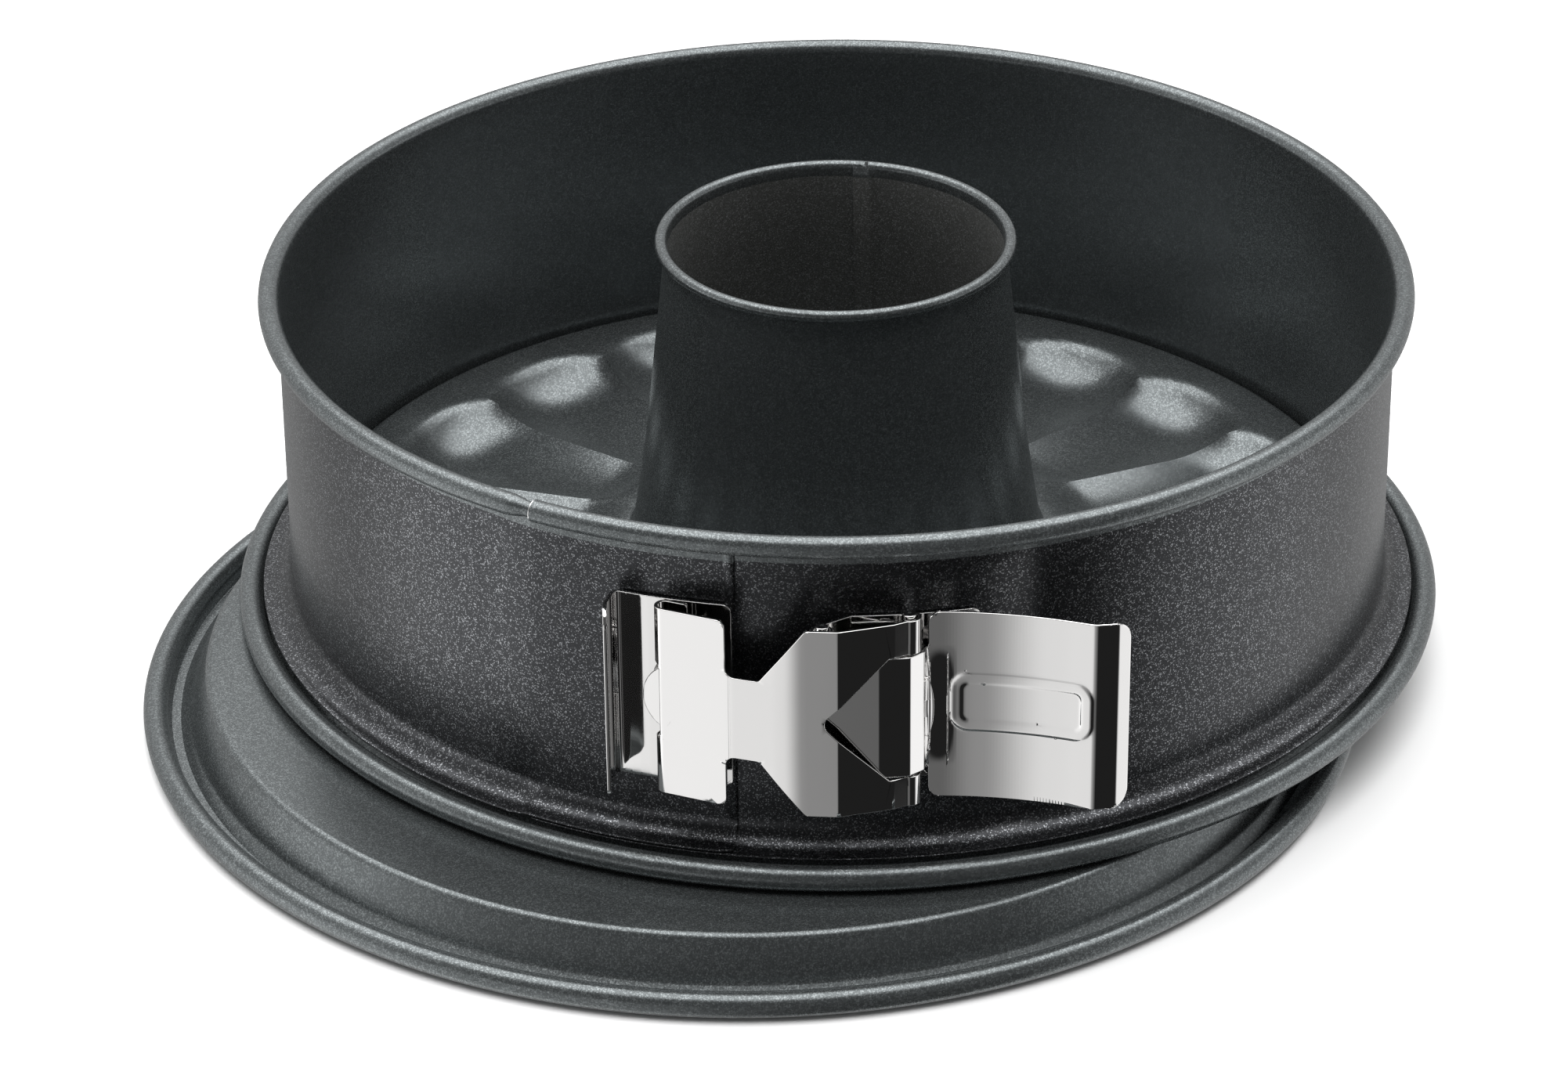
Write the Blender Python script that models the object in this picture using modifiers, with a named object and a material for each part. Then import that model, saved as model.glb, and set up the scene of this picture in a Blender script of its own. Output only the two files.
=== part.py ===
"""Springform pan: a hinged ring closed by a toggle clasp, with a fluted tube base in it
and the spare flat base lying under it.

Lengths are in millimetres and become metres where a mesh is made. The pan's own frame has its
axis on the ring's axis, Z = 0 at the underside of its base and the clasp at -Y. Azimuth is
measured from -Y towards +X.
"""

import math

import bmesh
import bpy
from mathutils import Matrix, Vector

MM = 0.001

# Driving dimensions, in millimetres.
SHEET = 0.6  # coated steel of the ring, the bases and the tube
CLASP_SHEET = 0.9  # bright steel of the clasp
GAP = 0.3  # left between pieces that touch

PLATEAU_TOP = 12.6  # height of a base's floor above its lowest face
RIM_RADIUS = 144.0  # outside of a base's rolled rim
FLAT_BASE_OFFSET = (-20.9, -30.0)  # flat base's axis from the pan's axis
STACK_HEIGHT = PLATEAU_TOP + GAP  # the pan stands on the flat base's floor

RING_RADIUS = 130.7  # middle of the ring's wall
RING_TOP = 83.6
RING_BEAD = 2.2  # middle radius of the curl along the ring's top
FOOT_RADIUS = 137.8
FOOT_HEIGHT = 5.7
FOOT_FILLET = 5.8
SEAM_INNER = -30.2  # azimuth of the ring's inner end
SEAM_OUTER = -10.3  # azimuth of the ring's outer end
LAP_RADIUS = RING_RADIUS + SHEET + GAP

TUBE_TOP_RADIUS = 41.0
TUBE_FOOT_RADIUS = 48.4
TUBE_BEAD = 1.1
TUBE_TOP = 92.0

LOBES = 19
LOBE_INNER = 56.0
LOBE_CUSP = 110.0
LOBE_OUTER = 119.0
LOBE_DEPTH = 7.0
STEPS = LOBES * 4

CLASP_LOW, CLASP_HIGH = 20.4, 66.5
KNUCKLE_LOW, KNUCKLE_HIGH = 28.2, 57.8  # the lever's middle knuckles
PIN_RADIUS = 1.4
KNUCKLE_RADIUS = 2.15  # middle of the sheet wound round a pin
HINGE_PIN = (-4.8, -138.2)
LINK_PIN = (14.1, -137.0)
TAB_RADIUS = 8.5
CLASP_MIDDLE = 0.5 * (CLASP_LOW + CLASP_HIGH)
HOOK_BEND = 1.9  # middle radius of the bend at the link's hooked end
HOOK_START = Vector((-39.3, -132.7))  # where the link's plate leaves that bend
HOOK_TURN = 22.6  # degrees that the link slopes outwards from its hooked end
HOOK_LEG = 4.6  # length folded back behind the tab
NECK_X = 18.2  # where the lever widens from its knuckle to its handle
NOTCH_TIP, NOTCH_MOUTH = -5.4, 9.6  # X of the link's pointed notch
NECK_LEFT, NECK_MIDDLE, NECK_RIGHT = -25.6, -18.5, -8.5  # X of the link's neck
NECK_BELOW, NECK_ABOVE = 10.6, 9.4  # the neck's edges from the clasp's middle
SLOT_HALF = 9.3  # half height of the slot in the link's hook
FRONT_Y, BACK_Y = -150, -125  # Y range that the clasp's cutters span

COATING = ((0.052, 0.057, 0.060), 0.42, 0.55)
BODY_COATING = ((0.030, 0.031, 0.034), 0.38, 0.60)
BRIGHT_STEEL = ((0.74, 0.75, 0.76), 0.09, 1.0)


def clear_scene():
    for obj in list(bpy.data.objects):
        bpy.data.objects.remove(obj, do_unlink=True)


def new_collection(name):
    collection = bpy.data.collections.new(name)
    bpy.context.scene.collection.children.link(collection)
    return collection


def new_material(name, finish):
    colour, roughness, metallic = finish
    material = bpy.data.materials.new(name)
    material.use_nodes = True
    shader = material.node_tree.nodes["Principled BSDF"]
    shader.inputs["Base Color"].default_value = (*colour, 1.0)
    shader.inputs["Roughness"].default_value = roughness
    shader.inputs["Metallic"].default_value = metallic
    return material


def new_empty(name, collection, place, parent=None):
    empty = bpy.data.objects.new(name, None)
    empty.location = Vector(place) * MM
    empty.parent = parent
    collection.objects.link(empty)
    return empty


def new_object(name, collection, mesh, material=None, parent=None, origin=(0, 0, 0)):
    """Makes an object from a mesh in millimetres, with its origin moved to `origin`."""
    mesh.transform(Matrix.Scale(MM, 4) @ Matrix.Translation(-Vector(origin)))
    mesh.shade_smooth()
    mesh.set_sharp_from_angle(angle=math.radians(35))
    obj = bpy.data.objects.new(name, mesh)
    obj.parent = parent
    if material:
        mesh.materials.append(material)
    collection.objects.link(obj)
    return obj


def arc(centre, radius, start, end, steps):
    """Points on an arc between two angles in degrees."""
    angles = [start + (end - start) * i / steps for i in range(steps + 1)]
    return [
        (
            centre[0] + radius * math.cos(math.radians(a)),
            centre[1] + radius * math.sin(math.radians(a)),
        )
        for a in angles
    ]


def rounded(corners, steps=3):
    """An outline whose corners (x, z, radius) are rounded."""
    points = []
    for i, (x, z, radius) in enumerate(corners):
        here = Vector((x, z))
        to_last = (Vector(corners[i - 1][:2]) - here).normalized()
        to_next = (Vector(corners[(i + 1) % len(corners)][:2]) - here).normalized()
        if radius == 0:
            points.append(here)
            continue
        half = to_last.angle(to_next) / 2
        reach = radius / math.tan(half)
        centre = here + (to_last + to_next).normalized() * (radius / math.sin(half))
        first = here + to_last * reach - centre
        turn = first.angle_signed(here + to_next * reach - centre)
        for k in range(steps + 1):
            points.append(centre + Matrix.Rotation(-turn * k / steps, 2) @ first)
    return points


def on_ring(radius, azimuth):
    a = math.radians(azimuth)
    return (radius * math.sin(a), -radius * math.cos(a))


def add_solidify(obj, thickness):
    solidify = obj.modifiers.new("sheet", "SOLIDIFY")
    solidify.thickness = thickness * MM
    solidify.offset = 0
    solidify.use_even_offset = True


def add_boolean(obj, operation, other):
    boolean = obj.modifiers.new(other.name, "BOOLEAN")
    boolean.operation = operation
    boolean.solver = "EXACT"
    boolean.object = other
    other.hide_render = True
    other.display_type = "WIRE"


def ribbon_mesh(path, low, high):
    """A sheet standing on a plan path, as an open surface."""
    bm = bmesh.new()
    bottom = [bm.verts.new((x, y, low)) for x, y in path]
    top = [bm.verts.new((x, y, high)) for x, y in path]
    for i in range(len(path) - 1):
        bm.faces.new((bottom[i], bottom[i + 1], top[i + 1], top[i]))
    mesh = bpy.data.meshes.new("ribbon")
    bm.to_mesh(mesh)
    bm.free()
    return mesh


def prism_mesh(outline, y_front, y_back):
    """A front-view outline (x, z) made solid along Y."""
    bm = bmesh.new()
    face = bm.faces.new([bm.verts.new((x, y_front, z)) for x, z in outline])
    sides = bmesh.ops.extrude_face_region(bm, geom=[face])
    moved = [v for v in sides["geom"] if isinstance(v, bmesh.types.BMVert)]
    bmesh.ops.translate(bm, vec=(0, y_back - y_front, 0), verts=moved)
    bmesh.ops.recalc_face_normals(bm, faces=bm.faces)
    mesh = bpy.data.meshes.new("prism")
    bm.to_mesh(mesh)
    bm.free()
    return mesh


def cylinder_mesh(centre, radius, low, high, sides):
    bm = bmesh.new()
    bmesh.ops.create_cone(
        bm, cap_ends=True, segments=sides, radius1=radius, radius2=radius, depth=high - low
    )
    bmesh.ops.translate(bm, vec=(*centre, 0.5 * (low + high)), verts=bm.verts)
    mesh = bpy.data.meshes.new("cylinder")
    bm.to_mesh(mesh)
    bm.free()
    return mesh


def profile_mesh(points):
    """An open line in the XZ plane, for a Screw modifier to turn."""
    mesh = bpy.data.meshes.new("profile")
    edges = [(i, i + 1) for i in range(len(points) - 1)]
    mesh.from_pydata([(r, 0, z) for r, z in points], edges, [])
    return mesh


def add_screw(obj, degrees, steps, closed):
    screw = obj.modifiers.new("turn", "SCREW")
    screw.angle = math.radians(degrees)
    screw.steps = screw.render_steps = steps
    screw.use_merge_vertices = closed
    screw.merge_threshold = 0.0001


def base_outside():
    """Middle line of a base from its floor's edge to the end of its rolled rim."""
    half = SHEET / 2
    top_surface = [
        (126.2, PLATEAU_TOP),
        (128.2, PLATEAU_TOP - 0.6),
        (129.4, PLATEAU_TOP - 2.2),
        (132.4, 3.6),
        (135.2, SHEET),
        (138.2, SHEET),
    ]
    line = [(r, z - half) for r, z in top_surface]
    return line + arc((RIM_RADIUS - half - 2.6, 2.6), 2.6, 190, -35, 5)


def make_flat_base(collection, material, parent):
    floor = [(0.0, PLATEAU_TOP - SHEET / 2), (60.0, PLATEAU_TOP - SHEET / 2)]
    mesh = profile_mesh(floor + base_outside())
    base = new_object("flat_base", collection, mesh, material, parent)
    add_screw(base, 360, STEPS, closed=True)
    add_solidify(base, SHEET)
    return base


def lobe_height(radius, across):
    """Middle height of the fluted floor; `across` runs from -1 to 1 over one lobe."""
    floor = PLATEAU_TOP - SHEET / 2
    edge = LOBE_CUSP + (LOBE_OUTER - LOBE_CUSP) * (1 - across * across)
    if radius >= edge:
        return floor
    outer = min(1.0, (edge - radius) / 16.0)
    inner = min(1.0, max(0.0, (radius - LOBE_INNER) / 14.0))
    bowl = math.sin(outer * math.pi / 2) * math.sin(inner * math.pi / 2)
    trough = 0.25 + 0.75 * math.cos(across * math.pi / 2)
    return floor - LOBE_DEPTH * bowl * trough


def make_tube_base(collection, material, parent):
    """The fluted disc: a polar grid, because the lobes are not a turned shape."""
    middle = PLATEAU_TOP - SHEET / 2
    collar = [(47.3, middle + 5.0), (47.3, middle + 1.0), (48.2, middle)]
    radii = [LOBE_INNER - 2, 62, 74, 92, 104, LOBE_CUSP + 1, LOBE_OUTER + 1]
    rows = collar + [(r, None) for r in radii] + base_outside()
    bm = bmesh.new()
    rings = []
    for radius, height in rows:
        ring = []
        for i in range(STEPS):
            across = 2 * ((i / 4) % 1) - 1
            z = lobe_height(radius, across) if height is None else height
            a = 2 * math.pi * i / STEPS + math.radians(26.9)
            ring.append(bm.verts.new((radius * math.cos(a), radius * math.sin(a), z)))
        rings.append(ring)
    for inner, outer in zip(rings, rings[1:]):
        for i in range(STEPS):
            j = (i + 1) % STEPS
            bm.faces.new((inner[i], outer[i], outer[j], inner[j]))
    mesh = bpy.data.meshes.new("tube_base")
    bm.to_mesh(mesh)
    bm.free()
    base = new_object("tube_base", collection, mesh, material, parent)
    add_solidify(base, SHEET)
    return base


def make_tube(collection, material, parent):
    """The centre tube, curled over at its top and flared where it meets the disc."""
    foot = PLATEAU_TOP + GAP + SHEET / 2
    bead_centre = (TUBE_TOP_RADIUS, TUBE_TOP - TUBE_BEAD - SHEET / 2)
    outline = arc(bead_centre, TUBE_BEAD, -150, 180, 5)
    wall_top = (TUBE_TOP_RADIUS - TUBE_BEAD, bead_centre[1] - 2)
    outline += [wall_top, (TUBE_FOOT_RADIUS, foot + 3.5), (TUBE_FOOT_RADIUS + 1.6, foot)]
    mesh = profile_mesh(outline)
    tube = new_object("centre_tube", collection, mesh, material, parent)
    add_screw(tube, 360, 40, closed=True)
    add_solidify(tube, SHEET)
    return tube


def make_ring(collection, cutters, material, parent):
    """The split ring: one turn of the wall, and the lap that its outer end makes."""
    bead_centre = (RING_RADIUS + RING_BEAD, RING_TOP - RING_BEAD - SHEET / 2)
    outline = arc(bead_centre, RING_BEAD, -140, 180, 7)
    fillet_centre = (RING_RADIUS + FOOT_FILLET, FOOT_HEIGHT + FOOT_FILLET)
    outline += arc(fillet_centre, FOOT_FILLET, 180, 270, 4)
    outline += [(FOOT_RADIUS, FOOT_HEIGHT)]
    ring = new_object("ring", collection, profile_mesh(outline), material, parent)
    ring.rotation_euler.z = math.radians(SEAM_INNER - 90 + 0.1)
    add_screw(ring, 359.6, STEPS, closed=False)
    add_solidify(ring, SHEET)

    root = [on_ring(RING_RADIUS + 0.3, SEAM_INNER - 6), on_ring(RING_RADIUS + 0.4, SEAM_INNER - 3)]
    lap_steps = 7
    lap = [
        on_ring(LAP_RADIUS, SEAM_INNER + (SEAM_OUTER - SEAM_INNER) * i / lap_steps)
        for i in range(lap_steps + 1)
    ]
    lap_low = FOOT_HEIGHT + FOOT_FILLET - 1
    lap_high = bead_centre[1] - RING_BEAD - 1
    strip = new_object("ring_lap", cutters, ribbon_mesh(root + lap, lap_low, lap_high), None, parent)
    add_solidify(strip, SHEET)
    add_boolean(ring, "UNION", strip)
    return ring


def hook_frame():
    """Plan directions along the link's hooked end and inwards from it, and its bend's centre."""
    along = Vector((1.0, 0.0)) @ Matrix.Rotation(math.radians(HOOK_TURN), 2)
    inward = Vector((-along.y, along.x))
    return along, inward, HOOK_START + inward * HOOK_BEND


def make_catch_plate(collection, cutters, material, parent):
    """The plate welded to the ring's outer end, with a finger lip and a raised tab."""
    radius = LAP_RADIUS + SHEET / 2 + GAP + CLASP_SHEET / 2
    field = [on_ring(radius, -10.5 - 10.1 * i / 4) for i in range(5)]
    lip = [(-49.4, -124.2), (-51.0, -126.0), (-51.6, -128.6), (-51.4, -134.2)]
    mesh = ribbon_mesh(field + lip, CLASP_LOW, CLASP_HIGH - 0.5)
    plate = new_object("catch_plate", collection, mesh, material, parent)
    add_solidify(plate, CLASP_SHEET)

    along, _, middle = hook_frame()
    tip = middle - along * 5.4
    bend = middle + along * 8.2
    path = [tip, bend, (-28.9, -133.6), (-26.6, -131.4), (-25.6, -129.9)]
    tab = new_object(
        "catch_tab",
        cutters,
        ribbon_mesh(path, CLASP_MIDDLE - TAB_RADIUS, CLASP_MIDDLE + TAB_RADIUS),
        None,
        parent,
    )
    add_solidify(tab, CLASP_SHEET)
    centre_x = tip.x + TAB_RADIUS
    outline = arc((centre_x, CLASP_MIDDLE), TAB_RADIUS, 90, 270, 10)
    outline += [(-20.0, CLASP_MIDDLE - TAB_RADIUS), (-20.0, CLASP_MIDDLE + TAB_RADIUS)]
    disc = new_object("tab_outline", cutters, prism_mesh(outline, -140, -120), None, parent)
    add_boolean(tab, "INTERSECT", disc)
    add_boolean(plate, "UNION", tab)
    return plate


def make_hinge_plate(collection, cutters, material, parent):
    """The plate welded to the ring's inner end, rolled round the hinge pin."""
    radius = RING_RADIUS + SHEET / 2 + GAP + CLASP_SHEET / 2
    field = [on_ring(radius, 13.0 - 12.4 * i / 4) for i in range(5)]
    apex = Vector(field[-1])
    centre = Vector(HINGE_PIN)
    reach = (apex - centre).length
    towards = math.degrees(math.atan2(apex.y - centre.y, apex.x - centre.x))
    start = towards + math.degrees(math.acos(KNUCKLE_RADIUS / reach))
    roll = arc(HINGE_PIN, KNUCKLE_RADIUS, start, start + 290, 12)
    mesh = ribbon_mesh(field + roll, CLASP_LOW + 2.4, CLASP_HIGH - 2.7)
    plate = new_object("hinge_plate", collection, mesh, material, parent)
    add_solidify(plate, CLASP_SHEET - 0.2)
    low, high = KNUCKLE_LOW - 0.5, KNUCKLE_HIGH + 0.5
    window = [(-12, low), (-1.2, low), (-1.2, high), (-12, high)]
    cutter = new_object("hinge_window", cutters, prism_mesh(window, FRONT_Y, -132.5), None, parent)
    add_boolean(plate, "DIFFERENCE", cutter)
    return plate


def make_lever(collection, cutters, material, parent):
    """The lever: a leg between the two pins and the curved handle beyond them."""
    roll = arc(HINGE_PIN, KNUCKLE_RADIUS, 20, 270, 10)
    crest = arc(LINK_PIN, KNUCKLE_RADIUS, -95, -20, 4)
    handle = [
        (17.4, -135.7),
        (18.8, -135.1),
        (23.5, -134.7),
        (31.0, -134.9),
        (38.0, -136.1),
        (45.0, -138.3),
        (52.6, -141.1),
        (54.5, -141.5),
        (57.4, -141.1),
        (59.0, -140.4),
        (61.2, -138.6),
    ]
    mesh = ribbon_mesh(roll + crest + handle, CLASP_LOW, CLASP_HIGH)
    origin = (*HINGE_PIN, 0)
    lever = new_object("lever", collection, mesh, material, parent, origin)
    add_solidify(lever, CLASP_SHEET - 0.2)
    outline = rounded(
        [
            (-12, KNUCKLE_LOW, 0),
            (NECK_X, KNUCKLE_LOW, 0),
            (NECK_X, CLASP_LOW, 2.5),
            (61.5, CLASP_LOW, 3.5),
            (61.5, CLASP_HIGH, 3.5),
            (NECK_X, CLASP_HIGH, 2.5),
            (NECK_X, KNUCKLE_HIGH, 0),
            (-12, KNUCKLE_HIGH, 0),
        ]
    )
    shape = new_object("lever_outline", cutters, prism_mesh(outline, FRONT_Y, BACK_Y), None, parent, origin)
    add_boolean(lever, "INTERSECT", shape)
    return lever


def make_link(collection, cutters, material, parent):
    """The link: hooked at one end, necked, with a notch for the lever, rolled at the other."""
    along, inward, bend_centre = hook_frame()
    first = math.degrees(math.atan2(inward.y, inward.x))
    hook = arc(bend_centre, HOOK_BEND, first, first + 180, 6)
    leg_end = bend_centre + inward * HOOK_BEND + along * HOOK_LEG
    plate = [
        (-24.6, -138.9),
        (-16.5, -141.6),
        (-8.0, -143.2),
        (-1.4, -143.7),
        (10.4, -140.6),
    ]
    roll = arc(LINK_PIN, KNUCKLE_RADIUS, -105, 165, 12)
    mesh = ribbon_mesh([leg_end] + hook + plate + roll, CLASP_LOW, CLASP_HIGH)
    origin = (*LINK_PIN, 0)
    link = new_object("link_plate", collection, mesh, material, parent, origin)
    add_solidify(link, CLASP_SHEET - 0.1)
    neck_low, neck_high = CLASP_MIDDLE - NECK_BELOW, CLASP_MIDDLE + NECK_ABOVE
    arm_low, arm_high = KNUCKLE_LOW - 0.5, KNUCKLE_HIGH + 0.5
    outline = rounded(
        [
            (-45.0, CLASP_LOW, 0),
            (NECK_LEFT, CLASP_LOW, 2.0),
            (NECK_LEFT, neck_low, 2.0),
            (NECK_MIDDLE, neck_low, 1.5),
            (NECK_RIGHT, CLASP_LOW, 1.5),
            (18.0, CLASP_LOW, 0),
            (18.0, arm_low, 0),
            (NOTCH_MOUTH, arm_low, 0),
            (NOTCH_TIP, CLASP_MIDDLE, 2.5),
            (NOTCH_MOUTH, arm_high, 0),
            (18.0, arm_high, 0),
            (18.0, CLASP_HIGH, 0),
            (NECK_RIGHT, CLASP_HIGH, 1.5),
            (NECK_MIDDLE, neck_high, 1.5),
            (NECK_LEFT, neck_high, 2.0),
            (NECK_LEFT, CLASP_HIGH, 2.0),
            (-45.0, CLASP_HIGH, 0),
        ]
    )
    shape = new_object("link_outline", cutters, prism_mesh(outline, FRONT_Y, BACK_Y), None, parent, origin)
    add_boolean(link, "INTERSECT", shape)
    low, high = CLASP_MIDDLE - SLOT_HALF, CLASP_MIDDLE + SLOT_HALF
    slot = [(-44.0, low), (-30.0, low), (-30.0, high), (-44.0, high)]
    cutter = new_object("hook_slot", cutters, prism_mesh(slot, -132.35, BACK_Y), None, parent, origin)
    add_boolean(link, "DIFFERENCE", cutter)
    return link


def make_pin(name, collection, material, parent, place, low, high, origin):
    mesh = cylinder_mesh(place, PIN_RADIUS, low, high, 16)
    return new_object(name, collection, mesh, material, parent, origin)


def main():
    clear_scene()
    parts = new_collection("springform_pan")
    cutters = new_collection("cutters")
    base_finish = new_material("release_coating", COATING)
    wall_finish = new_material("wall_coating", BODY_COATING)
    bright = new_material("bright_steel", BRIGHT_STEEL)

    # The origin is midway between the two axes, on the table.
    half_x, half_y = -FLAT_BASE_OFFSET[0] / 2, -FLAT_BASE_OFFSET[1] / 2
    spare = new_empty("flat_base_axis", parts, (-half_x, -half_y, 0))
    pan = new_empty("pan_axis", parts, (half_x, half_y, STACK_HEIGHT))
    hinge = new_empty("hinge_axis", parts, (*HINGE_PIN, 0), pan)
    joint = new_empty(
        "link_axis", parts, (LINK_PIN[0] - HINGE_PIN[0], LINK_PIN[1] - HINGE_PIN[1], 0), hinge
    )

    make_flat_base(parts, base_finish, spare)
    make_tube_base(parts, base_finish, pan)
    make_tube(parts, wall_finish, pan)
    make_ring(parts, cutters, wall_finish, pan)
    make_catch_plate(parts, cutters, bright, pan)
    make_hinge_plate(parts, cutters, bright, pan)
    make_pin("hinge_pin", parts, bright, pan, HINGE_PIN, CLASP_LOW + 1.6, CLASP_HIGH - 1.5, (0, 0, 0))
    make_lever(parts, cutters, bright, hinge)
    make_pin(
        "link_pin", parts, bright, hinge, LINK_PIN, CLASP_LOW - 0.8, CLASP_HIGH + 0.7, (*HINGE_PIN, 0)
    )
    make_link(parts, cutters, bright, joint)


main()
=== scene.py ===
"""Springform pan in satin release coating, with a bright toggle clasp, on its spare flat base.

Lengths are in millimetres while a piece is shaped and become metres as its mesh is made. A
piece is shaped in its own base's frame: the axis of the turned parts at X = Y = 0, the lowest
face of the base at Z = 0 and the clasp at -Y. Azimuth runs from -Y towards +X, in degrees.
"""

import logging
import math
from collections.abc import Callable, Sequence
from dataclasses import dataclass, field
from enum import Enum

import bmesh
import bpy
from mathutils import Matrix, Vector

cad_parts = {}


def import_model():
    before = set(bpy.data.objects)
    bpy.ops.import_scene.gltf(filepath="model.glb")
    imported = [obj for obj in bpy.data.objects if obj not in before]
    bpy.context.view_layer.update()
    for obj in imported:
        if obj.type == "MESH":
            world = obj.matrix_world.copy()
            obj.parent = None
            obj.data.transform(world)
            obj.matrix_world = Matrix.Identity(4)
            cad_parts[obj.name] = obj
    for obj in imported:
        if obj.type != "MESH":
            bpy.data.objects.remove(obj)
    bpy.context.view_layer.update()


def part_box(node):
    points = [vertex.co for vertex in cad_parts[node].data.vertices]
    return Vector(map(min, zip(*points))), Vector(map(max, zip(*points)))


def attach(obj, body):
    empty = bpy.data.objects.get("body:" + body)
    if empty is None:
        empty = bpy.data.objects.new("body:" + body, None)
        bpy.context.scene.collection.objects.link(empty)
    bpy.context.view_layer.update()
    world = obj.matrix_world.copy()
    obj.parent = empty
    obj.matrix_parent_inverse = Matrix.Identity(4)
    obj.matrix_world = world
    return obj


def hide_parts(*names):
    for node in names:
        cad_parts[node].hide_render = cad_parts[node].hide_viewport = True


MM = 0.001
FLAT_EDGE = 0.3  # millimetres from a bend at which a flat sheet is cut once more
LONGEST_CHORD = 0.7  # millimetres, in a rounding
FLAT_PITCH = 1.5  # millimetres between the cuts across a flat sheet
SHARP_ANGLE = 40  # degrees between faces, above which their shared edge shades sharp
BROKEN_ANGLE = 50  # degrees between faces, above which a bright sheet's edge is rounded
LOG = logging.getLogger("springform_pan")

Point = tuple[float, float]
Line = list[Point]


class Body(Enum):
    """Bodies of the frame that pieces ride on."""

    SPARE_BASE = "spare_base"
    PAN_BASE = "pan_base"
    RING = "ring"
    LEVER = "lever"
    LINK = "link"


class Slot(Enum):
    """Material slots of the record."""

    RELEASE_COATING = "release_coating"
    WALL_COATING = "wall_coating"
    BRIGHT_STEEL = "bright_steel"


# ---------------------------------------------------------------- shader nodes


def linear(hex_colour: str) -> tuple[float, float, float, float]:
    """Turns an sRGB hex colour into linear RGBA.

    Args:
        hex_colour: Six hex digits, such as "6b7173".

    Returns:
        Linear red, green and blue, with alpha 1.
    """
    channels = []
    for i in (0, 2, 4):
        c = int(hex_colour[i : i + 2], 16) / 255
        channels.append(c / 12.92 if c <= 0.04045 else ((c + 0.055) / 1.055) ** 2.4)
    return (*channels, 1.0)


def add_node(
    tree: bpy.types.NodeTree, kind: str, feeds: dict | None = None, **settings
) -> bpy.types.Node:
    """Adds one node with its settings and links.

    Args:
        tree: Node tree to add to.
        kind: Blender's node type name.
        feeds: Input name or index to a value, or to the output socket that feeds it.
        **settings: Properties of the node itself.

    Returns:
        The new node.
    """
    node = tree.nodes.new(kind)
    for name, value in settings.items():
        setattr(node, name, value)
    for name, value in (feeds or {}).items():
        if isinstance(value, bpy.types.NodeSocket):
            tree.links.new(value, node.inputs[name])
        else:
            node.inputs[name].default_value = value
    return node


def add_noise(
    tree: bpy.types.NodeTree, place: bpy.types.NodeSocket, size_mm: float, detail: float
) -> bpy.types.NodeSocket:
    """Adds a noise pattern.

    Args:
        tree: Node tree to add to.
        place: Coordinates in metres.
        size_mm: Size of its blotches.
        detail: Octaves of finer noise on it.

    Returns:
        The pattern, 0 to 1.
    """
    feeds = {"Vector": place, "Scale": 1 / (size_mm * MM), "Detail": detail}
    return add_node(tree, "ShaderNodeTexNoise", feeds).outputs["Fac"]


def new_material(
    name: str,
) -> tuple[bpy.types.Material, bpy.types.NodeTree, bpy.types.Node]:
    """Makes a material.

    Args:
        name: Its name.

    Returns:
        The material, its node tree and its shader.
    """
    material = bpy.data.materials.new(name)
    material.use_nodes = True
    return material, material.node_tree, material.node_tree.nodes["Principled BSDF"]


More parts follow.
